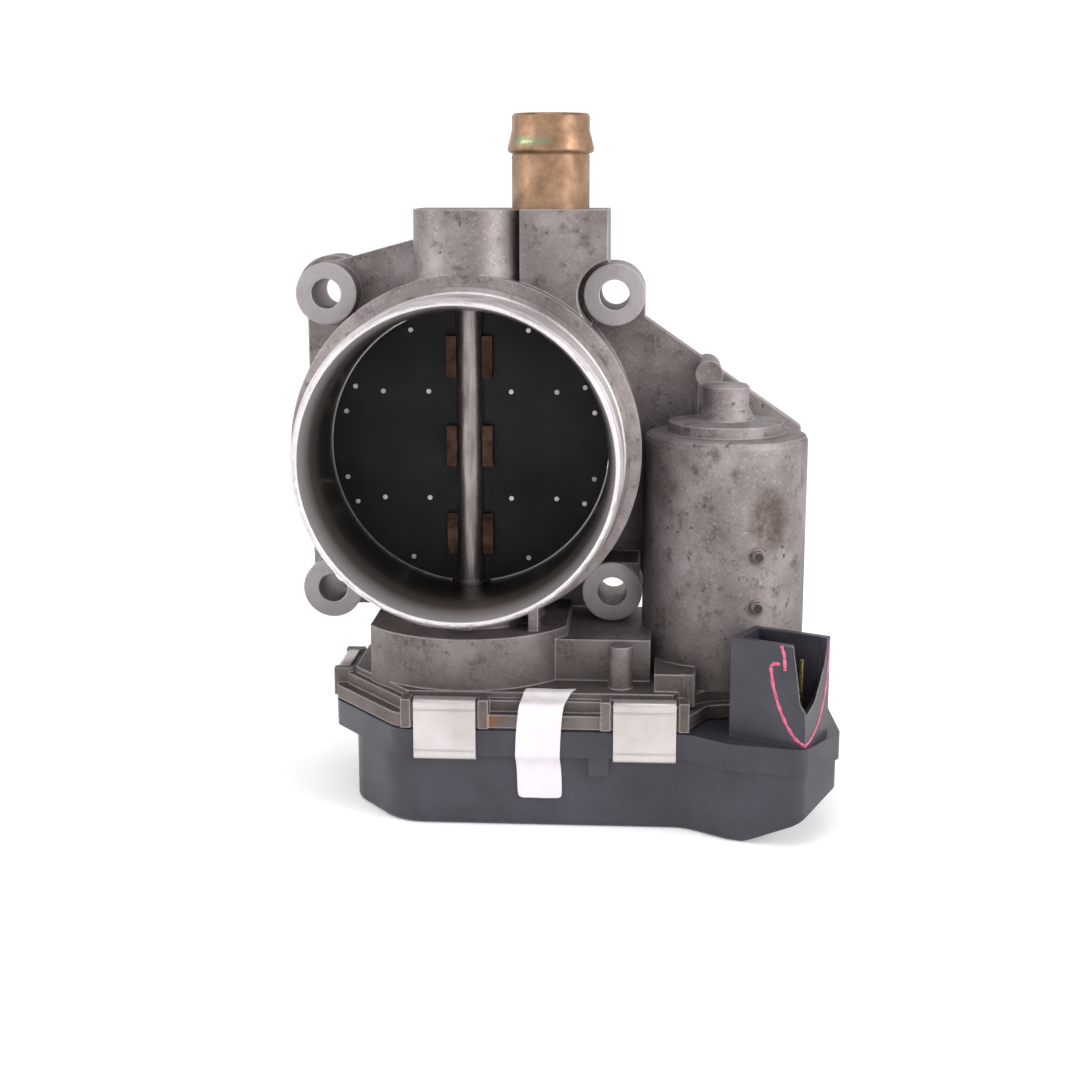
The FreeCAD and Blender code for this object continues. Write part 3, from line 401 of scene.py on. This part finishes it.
def tarnished_brass():
    """Dull brass with brown tarnish and a smear of green and yellow paint on the barb."""
    made, tree, shader, place = new_material("brass_tarnished")
    cloud = noise(tree, place, 160, 6, 0.65)
    grain = noise(tree, place, 900, 4, 0.6)
    colour = ramp(tree, cloud, [(0.30, (0.150, 0.082, 0.050)), (0.52, (0.285, 0.168, 0.100)),
                                (0.72, (0.42, 0.275, 0.175))])
    edge_mark, soft_normal = edges(tree, 0.3 * MM, 0.6)
    colour = mixed(tree, edge_mark, colour, (0.58, 0.42, 0.28))
    middle = (NIPPLE_LOW + NIPPLE_HIGH) / 2
    smear_place = (middle.x - 4.6 * MM, NIPPLE_LOW.y + 1.5 * MM, NIPPLE_HIGH.z - 6.2 * MM)
    green = near(tree, place, smear_place, (6.6 * MM, 6 * MM, 1.3 * MM), 0.4)
    ragged = spread(tree, noise(tree, place, 700, 4, 0.7, (1, 1, 2.5)), 0.0, 0.8, 0.40, 0.60)
    colour = mixed(tree, maths(tree, "MULTIPLY", green, ragged), colour, (0.09, 0.31, 0.20))
    yellow = near(tree, place, (smear_place[0] - 0.5 * MM, smear_place[1], smear_place[2] - 0.2 * MM),
                  (2.6 * MM, 5 * MM, 0.5 * MM), 0.6)
    colour = mixed(tree, maths(tree, "MULTIPLY", yellow, ragged), colour, (0.50, 0.52, 0.27))
    tree.links.new(colour, shader.inputs["Base Color"])
    shader.inputs["Metallic"].default_value = 0.75
    tree.links.new(spread(tree, cloud, 0.5, 0.32), shader.inputs["Roughness"])
    tree.links.new(bump(tree, grain, 0.25, 0.05 * MM, soft_normal), shader.inputs["Normal"])
    return made


def plain_metal(name, dark, light, rough, scale=300, stretch=(1, 1, 1), metallic=0.9):
    """A metal whose tone varies over it."""
    made, tree, shader, place = new_material(name)
    cloud = noise(tree, place, scale, 6, 0.65, stretch)
    colour = ramp(tree, cloud, [(0.35, dark), (0.65, light)])
    edge_mark, soft_normal = edges(tree, 0.15 * MM, 0.4)
    colour = mixed(tree, edge_mark, colour, tuple(min(1.0, 1.4 * c) for c in light))
    tree.links.new(colour, shader.inputs["Base Color"])
    shader.inputs["Metallic"].default_value = metallic
    tree.links.new(spread(tree, cloud, rough + 0.1, rough - 0.05), shader.inputs["Roughness"])
    tree.links.new(bump(tree, cloud, 0.3, 0.04 * MM, soft_normal), shader.inputs["Normal"])
    return made


def dark_sheet():
    """The plate's near-black coating, with a faint oily film."""
    made, tree, shader, place = new_material("dark_sheet_coating")
    cloud = noise(tree, place, 60, 5, 0.6)
    fine = noise(tree, place, 1300, 3, 0.6)
    colour = ramp(tree, cloud, [(0.3, (0.0045, 0.0045, 0.006)), (0.7, (0.011, 0.0105, 0.014))])
    tree.links.new(colour, shader.inputs["Base Color"])
    shader.inputs["Specular IOR Level"].default_value = 0.18
    tree.links.new(spread(tree, cloud, 0.58, 0.42), shader.inputs["Roughness"])
    tree.links.new(bump(tree, fine, 0.15, 0.03 * MM), shader.inputs["Normal"])
    return made


def moulded_plastic(name, dark, light, rough, edge, edge_gain=0.35):
    """Moulded plastic with a fine grain and scuffed edges."""
    made, tree, shader, place = new_material(name)
    cloud = noise(tree, place, 70, 6, 0.65)
    fine = noise(tree, place, 2200, 2, 0.5)
    scuff = noise(tree, place, 380, 8, 0.8)
    colour = ramp(tree, cloud, [(0.3, dark), (0.7, light)])
    edge_mark, soft_normal = edges(tree, 0.3 * MM, edge_gain)
    colour = mixed(tree, maths(tree, "MULTIPLY", edge_mark, spread(tree, scuff, 0.1, 1.0)), colour, edge)
    colour = mixed(tree, spread(tree, scuff, 0.0, 0.25, 0.6, 0.75), colour, edge)
    tree.links.new(colour, shader.inputs["Base Color"])
    tree.links.new(spread(tree, cloud, rough + 0.07, rough - 0.07), shader.inputs["Roughness"])
    tree.links.new(bump(tree, fine, 0.22, 0.04 * MM, soft_normal), shader.inputs["Normal"])
    return made


def paper_film():
    """The label's white film, slightly creased and unevenly grey."""
    made, tree, shader, place = new_material("label_film")
    cloud = noise(tree, place, 240, 7, 0.7)
    crease = noise(tree, place, 520, 3, 0.5, (1, 1, 0.35))
    colour = ramp(tree, cloud, [(0.26, (0.56, 0.51, 0.54)), (0.38, (0.70, 0.655, 0.69)),
                                (0.7, (0.76, 0.715, 0.75))])
    tree.links.new(colour, shader.inputs["Base Color"])
    shader.inputs["Roughness"].default_value = 0.42
    tree.links.new(bump(tree, crease, 0.35, 0.12 * MM), shader.inputs["Normal"])
    return made


def broken_cover_plastic():
    """The cover's black plastic, whitened where the connector's corner is broken away."""
    made = moulded_plastic("cover_black", (0.020, 0.018, 0.026), (0.041, 0.037, 0.053), 0.38,
                           (0.17, 0.165, 0.19))
    tree = made.node_tree
    shader = tree.nodes["Principled BSDF"]
    place = tree.nodes.new("ShaderNodeTexCoord").outputs["Object"]
    old_colour = shader.inputs["Base Color"].links[0].from_socket
    corner = plug_point(PLUG_HALF_LONG, -PLUG_HALF_SHORT, PLUG_TOP - 7 * MM)
    round_break = near(tree, place, corner, (9 * MM, 12 * MM, 10.5 * MM), 0.2)
    broken = edges(tree, 0.45 * MM, 1.0)[0]
    ragged = spread(tree, noise(tree, place, 900, 6, 0.8), 0.25, 1.0, 0.35, 0.6)
    white = maths(tree, "MULTIPLY", maths(tree, "MULTIPLY", round_break, broken), ragged)
    tree.links.new(mixed(tree, white, old_colour, (0.46, 0.44, 0.46)), shader.inputs["Base Color"])
    return made


def marker_ink():
    """Waxy pink marker, thin in places."""
    made, tree, shader, place = new_material("marker_ink")
    cloud = noise(tree, place, 900, 5, 0.7)
    pink = ramp(tree, cloud, [(0.35, (0.42, 0.06, 0.13)), (0.6, (0.78, 0.16, 0.27))])
    tree.links.new(pink, shader.inputs["Base Color"])
    shader.inputs["Roughness"].default_value = 0.6
    return made


STEEL = plain_metal("steel_plain", (0.34, 0.33, 0.33), (0.55, 0.54, 0.54), 0.34)
BRONZE = plain_metal("bronze_dark", (0.022, 0.012, 0.008), (0.085, 0.046, 0.032), 0.45, 260)
COPPER = plain_metal("copper_wire", (0.40, 0.16, 0.08), (0.72, 0.36, 0.20), 0.34, 1200, (1, 1, 5))
MAGNET = plain_metal("magnet_sintered", (0.06, 0.06, 0.065), (0.13, 0.13, 0.14), 0.6, 700, metallic=0.5)
RUBBER = moulded_plastic("rubber_black", (0.010, 0.010, 0.010), (0.022, 0.021, 0.022), 0.75,
                         (0.05, 0.05, 0.05), 0.1)
SHAFT = plain_metal("shaft_ground", (0.17, 0.14, 0.135), (0.36, 0.32, 0.315), 0.28, 500, (1, 1, 0.15))
CLIP_STEEL = plain_metal("clip_spring_steel", (0.50, 0.455, 0.445), (0.62, 0.575, 0.57), 0.36, 90,
                         metallic=0.7)
GEAR = moulded_plastic("gear_nylon", (0.60, 0.56, 0.46), (0.76, 0.73, 0.63), 0.45, (0.86, 0.84, 0.76))
CHIP = moulded_plastic("chip_black", (0.012, 0.012, 0.013), (0.025, 0.025, 0.027), 0.5, (0.08, 0.08, 0.08))
BOARD = moulded_plastic("board_green", (0.02, 0.12, 0.06), (0.04, 0.20, 0.10), 0.4, (0.5, 0.45, 0.25))
GOLD = plain_metal("pin_gold", (0.48, 0.36, 0.12), (0.78, 0.64, 0.28), 0.25, 800)
BRASS = tarnished_brass()
LABEL = paper_film()
INK = marker_ink()

FINISH = {
    "throttle_housing": cast_aluminium(), "hose_nipple": BRASS, "motor_pinion": BRASS,
    "throttle_shaft": SHAFT, "plate_rivets": STEEL, "shaft_saddles": BRONZE,
    "throttle_plate_front": dark_sheet(), "gear_cover": broken_cover_plastic(), "motor_end_plate": CHIP,
    "sector_gear": GEAR, "intermediate_gear": GEAR, "connector_pins": GOLD,
    "sensor_board": BOARD, "sensor_chips": CHIP, "armature_windings": COPPER,
    "commutator": COPPER, "motor_terminals": COPPER, "motor_magnets": MAGNET,
    "position_magnet": MAGNET, "motor_brushes": MAGNET, "upper_motor_bearing": BRONZE,
    "lower_motor_bearing": BRONZE, "return_spring": CLIP_STEEL, "cover_clips": CLIP_STEEL,
    "seal_label": LABEL, "cover_seal": RUBBER, "flange_seal": RUBBER,
    "upper_shaft_seal": RUBBER, "lower_shaft_seal": RUBBER,
}
FINISH["throttle_plate_rear"] = FINISH["throttle_plate_front"]


def paint_nodes():
    """Gives each CAD node its material."""
    for name, node in NODES.items():
        node.data.materials.clear()
        node.data.materials.append(FINISH.get(name, STEEL))


# ---------- pieces ----------

def piece(name, vertices, faces, material, body="root"):
    """A smooth-shaded mesh piece that rides on a body."""
    mesh = bpy.data.meshes.new(name)
    mesh.from_pydata(vertices, [], faces)
    mesh.validate()
    made = bpy.data.objects.new(name, mesh)
    bpy.context.scene.collection.objects.link(made)
    mesh.materials.append(material)
    for polygon in mesh.polygons:
        polygon.use_smooth = True
    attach(made, body)
    return made


def strip(name, profile, half, material, place):
    """A bent strip: a (forward, up) profile run along X to either side, then put in its place."""
    vertices = []
    for x in (-half, half):
        for forward, up in profile:
            vertices.append(place @ Vector((x, forward, up)))
    count = len(profile)
    faces = [(i, i + 1, count + i + 1, count + i) for i in range(count - 1)]
    made = piece(name, vertices, faces, material)
    solid = made.modifiers.new("thickness", "SOLIDIFY")
    solid.thickness = STRIP_THICK
    solid.offset = 0
    soft = made.modifiers.new("rounded_edges", "BEVEL")
    soft.width = STRIP_THICK * 0.3
    soft.segments = 2
    soft.limit_method = "ANGLE"
    return made


def arc(centre, radius, start, end):
    """Points on an arc between two angles in degrees, as (forward, up)."""
    steps = 6
    points = []
    for i in range(steps + 1):
        angle = math.radians(start + (end - start) * i / steps)
        points.append((centre[0] + radius * math.cos(angle), centre[1] + radius * math.sin(angle)))
    return points


def clip_profile(top, bottom):
    """A spring clip seen from its side: a hook at each end, and a face with two pressed folds."""
    mid = STRIP_THICK / 2
    points = [(UPPER_HOOK, top - mid)]
    points += arc((STRIP_BEND - mid, top - mid - STRIP_BEND), STRIP_BEND, 90, 180)
    for fold in (top - UPPER_FOLD, bottom + LOWER_FOLD):
        points += [(-mid, fold + FOLD_HALF), (-mid + FOLD_DEPTH, fold + FOLD_FLAT_HALF),
                   (-mid + FOLD_DEPTH, fold - FOLD_FLAT_HALF), (-mid, fold - FOLD_HALF)]
    points += arc((STRIP_BEND - mid, bottom + mid + STRIP_BEND), STRIP_BEND, 180, 270)
    points.append((LOWER_HOOK, bottom + mid))
    return points


def spring_clips():
    """Each clip as bent spring strip, standing where the frame's own clips are."""
    profile = clip_profile(CLIP_HIGH.z, CLIP_LOW.z)
    shift = Matrix.Translation((0, STRIP_THICK, 0))
    made = []
    for index, (low, high) in enumerate(clip_boxes()):
        size = high - low
        middle = (low + high) / 2
        along_x = size.x > size.y
        half = max(size.x, size.y) / 2
        if along_x:
            turn = 0 if middle.y < 0 else 180
            outer = low.y if turn == 0 else high.y
            place = Matrix.Translation((middle.x, outer, 0)) @ Matrix.Rotation(math.radians(turn), 4, "Z")
        else:
            place = Matrix.Translation((low.x, middle.y, 0)) @ Matrix.Rotation(math.radians(-90), 4, "Z")
        made.append(strip(f"spring_clip_{index + 1}", profile, half, CLIP_STEEL, place @ shift))
    for clip in made:
        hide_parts("cover_clips")


def clip_boxes():
    """The lowest and highest corner of each separate clip in the frame."""
    mesh = NODES["cover_clips"].data
    parent = list(range(len(mesh.vertices)))

    def head(i):
        while parent[i] != i:
            parent[i] = parent[parent[i]]
            i = parent[i]
        return i

    seen = {}
    for vertex in mesh.vertices:
        key = tuple(round(c, 6) for c in vertex.co)
        parent[head(vertex.index)] = head(seen.setdefault(key, vertex.index))
    for edge in mesh.edges:
        parent[head(edge.vertices[0])] = head(edge.vertices[1])
    groups = {}
    for vertex in mesh.vertices:
        groups.setdefault(head(vertex.index), []).append(vertex.co)
    boxes = []
    for points in groups.values():
        low = Vector([min(p[i] for p in points) for i in range(3)])
        high = Vector([max(p[i] for p in points) for i in range(3)])
        boxes.append((low, high))
    return sorted(boxes, key=lambda box: (round(box[0].y, 3), box[0].x))


def label_path():
    """The label's line from behind the flange's edge down to its free end, as (y, z)."""
    front = LABEL_LOW.y
    top = LABEL_HIGH.z
    lip_bottom = CLIP_LOW.z + CAD_CLIP_THICK
    path = [(LABEL_HIGH.y, top), (LABEL_HIGH.y - 1.3 * MM, top), (front + 4.6 * MM, top - 0.1 * MM),
            (front + 3.9 * MM, top - 0.9 * MM), (front + 2.5 * MM, top - 1.35 * MM),
            (front + 0.9 * MM, top - 1.5 * MM), (front + 0.15 * MM, top - 2.1 * MM)]
    straight_top = top - 3.2 * MM
    steps = 7
    for i in range(steps + 1):
        path.append((front, straight_top + (lip_bottom - straight_top) * i / steps))
    body = front + 1.95 * MM
    path += [(front + 0.7 * MM, lip_bottom - 0.6 * MM), (front + 1.6 * MM, lip_bottom - 1.8 * MM)]
    path += [(body, lip_bottom - 3.0 * MM), (body, lip_bottom - 4.8 * MM), (body, LABEL_LOW.z + 0.9 * MM)]
    path += [(body, LABEL_LOW.z + 0.3 * MM), (body, LABEL_LOW.z)]
    return path


def label_side(fall):
    """How far the label's left and right edges stand from the box's, by how far down it is."""
    sway = math.sin(min(1.0, fall / 0.7) * math.pi / 2)
    back = max(0.0, (fall - 0.7) / 0.3)
    left = (-2.1 * sway + 0.6 * back) * MM
    right = (-2.7 * (1 - math.exp(-6 * fall)) - 1.0 * sway + 0.7 * back) * MM
    return left, right


def seal_label():
    """The blank white label, folded over the joint and down the cover, with edges that sway."""
    path = label_path()
    columns = 12
    corner_cut = {len(path) - 1: 1.1 * MM, len(path) - 2: 0.3 * MM}
    vertices = []
    for row, (y, z) in enumerate(path):
        fall = row / (len(path) - 1)
        left, right = label_side(fall)
        cut = corner_cut.get(row, 0.0)
        low = LABEL_LOW.x + left + cut
        high = LABEL_HIGH.x + right - cut
        for column in range(columns + 1):
            across = column / columns
            lift = FILM_RIPPLE * (math.sin(across * 9 + row * 0.9) - 1)
            drop = FILM_RIPPLE * math.sin(across * 7) * (1 - fall)
            vertices.append((low + (high - low) * across, y + lift, z + min(drop, 0)))
    faces = []
    for row in range(len(path) - 1):
        for column in range(columns):
            a = row * (columns + 1) + column
            faces.append((a, a + 1, a + columns + 2, a + columns + 1))
    made = piece("seal_label_film", vertices, faces, LABEL)
    solid = made.modifiers.new("thickness", "SOLIDIFY")
    solid.thickness = FILM_THICK
    smooth = made.modifiers.new("smooth", "SUBSURF")
    smooth.levels = 1
    smooth.render_levels = 2
    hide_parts("seal_label")


def ribbon(name, points, normal, material):
    """A flat stroke along points, lying on a surface with that normal."""
    vertices = []
    count = len(points)
    for i, point in enumerate(points):
        along = (points[min(i + 1, count - 1)] - points[max(i - 1, 0)]).normalized()
        side = along.cross(normal).normalized() * MARKER_WIDTH * (0.42 + 0.12 * math.sin(i * 1.9))
        for shift in (-side, side):
            vertices.append(point + shift + normal * MARKER_THICK)
    faces = [(2 * i, 2 * i + 1, 2 * i + 3, 2 * i + 2) for i in range(count - 1)]
    made = piece(name, vertices, faces, material)
    solid = made.modifiers.new("thickness", "SOLIDIFY")
    solid.thickness = MARKER_THICK
    return made


def divided(corners, steps):
    """Points along a smooth line through corners."""
    points = []
    for i in range(len(corners) - 1):
        before = corners[max(i - 1, 0)]
        start, end = corners[i], corners[i + 1]
        after = corners[min(i + 2, len(corners) - 1)]
        for j in range(steps):
            t = j / steps
            point = 0.5 * (2 * start + (end - before) * t + (2 * before - 5 * start + 4 * end - after) * t * t
                           + (3 * start - before - 3 * end + after) * t * t * t)
            points.append(point)
    return points + [corners[-1]]


def marker_line():
    """The pink marker stroke round the break, on the shell's front and right faces."""
    front_normal = (plug_point(0, -1, 0) - plug_point(0, 0, 0)).normalized()
    right_normal = (plug_point(1, 0, 0) - plug_point(0, 0, 0)).normalized()
    # Points in mm: along the face from its middle, and down from the shell's top
    front = [(0.6, 5.2), (1.3, 9.4), (2.6, 13.4), (4.4, 17.2), (6.6, 20.2), (8.9, 21.6)]
    right = [(-6.25, 21.6), (-4.4, 21.4), (-1.6, 20.2), (1.6, 17.4), (4.2, 12.4), (5.6, 6.0), (5.9, 0.6)]
    short = [(2.9, 0.2), (3.6, 2.2), (3.9, 5.6)]
    join = [(0.6, 5.2), (1.5, 4.3), (2.7, 4.4)]

    def on_front(line):
        return [plug_point(a * MM, -PLUG_HALF_SHORT, PLUG_TOP - down * MM) for a, down in line]

    strokes = {
        "marker_front": (on_front(front), front_normal),
        "marker_right": ([plug_point(PLUG_HALF_LONG, a * MM, PLUG_TOP - down * MM) for a, down in right],
                         right_normal),
        "marker_short": (on_front(short), front_normal),
        "marker_join": (on_front(join), front_normal),
    }
    for name, (corners, normal) in strokes.items():
        made = ribbon(name, divided(corners, 5), normal, INK)


# ---------- stage, light and camera ----------

def studio_floor():
    """A round pale floor whose edge curves up into a wall all round."""
    sides = 64
    steps = 12
    profile = [(0.0, 0.0), (FLOOR_FLAT, 0.0)]
    for i in range(1, steps + 1):
        angle = math.pi / 2 * i / steps
        profile.append((FLOOR_FLAT + FLOOR_CURVE * math.sin(angle), FLOOR_CURVE * (1 - math.cos(angle))))
    profile.append((FLOOR_FLAT + FLOOR_CURVE, FLOOR_CURVE + FLOOR_WALL))
    vertices = []
    faces = []
    for radius, rise in profile:
        for j in range(sides):
            turn = 2 * math.pi * j / sides
            vertices.append((radius * math.cos(turn), radius * math.sin(turn), FLOOR_Z + rise))
    for i in range(len(profile) - 1):
        for j in range(sides):
            k = (j + 1) % sides
            faces.append((i * sides + j, i * sides + k, (i + 1) * sides + k, (i + 1) * sides + j))
    mesh = bpy.data.meshes.new("studio_floor")
    mesh.from_pydata(vertices, [], faces)
    for polygon in mesh.polygons:
        polygon.use_smooth = True
    made = bpy.data.objects.new("studio_floor", mesh)
    bpy.context.scene.collection.objects.link(made)
    material = bpy.data.materials.new("studio_pale")
    material.use_nodes = True
    shader = material.node_tree.nodes["Principled BSDF"]
    shader.inputs["Base Color"].default_value = (0.93, 0.93, 0.93, 1)
    shader.inputs["Roughness"].default_value = 0.9
    shader.inputs["Emission Color"].default_value = (1, 1, 1, 1)
    shader.inputs["Emission Strength"].default_value = FLOOR_GLOW
    mesh.materials.append(material)


def soft_light(name, place, aim, size, power):
    """A square soft light aimed at a point."""
    data = bpy.data.lights.new(name, "AREA")
    data.size = size
    data.energy = power
    made = bpy.data.objects.new(name, data)
    bpy.context.scene.collection.objects.link(made)
    made.location = place
    made.rotation_mode = "QUATERNION"
    made.rotation_quaternion = (Vector(aim) - Vector(place)).to_track_quat("-Z", "Y")


def studio_lights():
    """Soft light from above, from the right and from the left."""
    middle = (CAD_BOX[0] + CAD_BOX[1]) / 2
    for name, place, size, power in LIGHTS:
        soft_light(name, place, middle, size, power)
    world = bpy.data.worlds.new("studio_world")
    world.use_nodes = True
    background = world.node_tree.nodes["Background"]
    background.inputs["Color"].default_value = (1, 0.99, 1, 1)
    background.inputs["Strength"].default_value = WORLD_STRENGTH
    bpy.context.scene.world = world
    bpy.context.scene.view_settings.view_transform = "Standard"


def studio_camera():
    """The camera in front of the inlet, a little above and to the right."""
    data = bpy.data.cameras.new("camera")
    data.lens = CAMERA_LENS
    data.sensor_width = SENSOR_WIDTH
    data.clip_start = 0.01
    made = bpy.data.objects.new("camera", data)
    bpy.context.scene.collection.objects.link(made)
    made.location = CAMERA_PLACE
    made.rotation_mode = "QUATERNION"
    made.rotation_quaternion = CAMERA_AIM.to_track_quat("-Z", "Y")
    bpy.context.scene.camera = made


paint_nodes()
spring_clips()
seal_label()
marker_line()
studio_floor()
studio_lights()
studio_camera()
